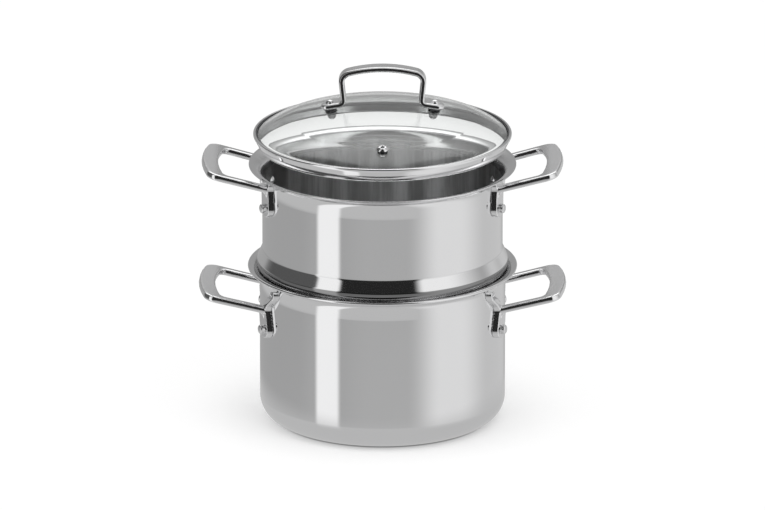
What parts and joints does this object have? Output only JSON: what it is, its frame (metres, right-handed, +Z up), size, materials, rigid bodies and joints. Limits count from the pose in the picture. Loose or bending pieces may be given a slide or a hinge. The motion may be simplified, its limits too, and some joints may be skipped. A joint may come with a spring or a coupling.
{
  "type": "steamer pot",
  "caption": "Two-handled polished steel pot with a two-handled steamer insert and a domed glass lid, lifted off",
  "frame": {"origin": "bottom centre of the pot's base, on the surface it stands on", "axes": "+Z up along the pot's axis; +X towards the right side handles; -Y is the front, where the steam vent is"},
  "size_m": [0.307, 0.2244, 0.3058],
  "materials": {
    "polished_steel": "mirror-polished stainless steel",
    "handle_steel": "satin stainless steel with polished edges",
    "fastener_steel": "polished stainless steel",
    "lid_glass": "clear tempered glass",
    "silicone": "black silicone"
  },
  "bodies": {
    "pot": {"pot_shell": "polished_steel", "pot_left_handle": "handle_steel", "pot_right_handle": "handle_steel", "pot_left_front_rivet": "fastener_steel", "pot_left_rear_rivet": "fastener_steel", "pot_right_front_rivet": "fastener_steel", "pot_right_rear_rivet": "fastener_steel"},
    "steamer": {"steamer_wall": "polished_steel", "steamer_floor": "polished_steel", "steamer_left_handle": "handle_steel", "steamer_right_handle": "handle_steel", "steamer_left_front_rivet": "fastener_steel", "steamer_left_rear_rivet": "fastener_steel", "steamer_right_front_rivet": "fastener_steel", "steamer_right_rear_rivet": "fastener_steel"},
    "lid": {"lid_glass": "lid_glass", "lid_ring": "polished_steel", "glass_seal": "silicone", "lid_handle": "handle_steel", "left_screw": "fastener_steel", "right_screw": "fastener_steel", "left_gasket": "silicone", "right_gasket": "silicone", "left_under_gasket": "silicone", "right_under_gasket": "silicone", "left_cap_nut": "fastener_steel", "right_cap_nut": "fastener_steel", "steam_vent": "fastener_steel", "vent_seal": "silicone"}
  },
  "joints": [
    {"name": "steamer_lift", "type": "slide", "parent": "pot", "child": "steamer", "axis": [0, 0, 1], "range_m": [0, 0.15]},
    {"name": "lid_lift", "type": "slide", "parent": "steamer", "child": "lid", "axis": [0, 0, 1], "range_m": [-0.0186, 0.12]}
  ]
}
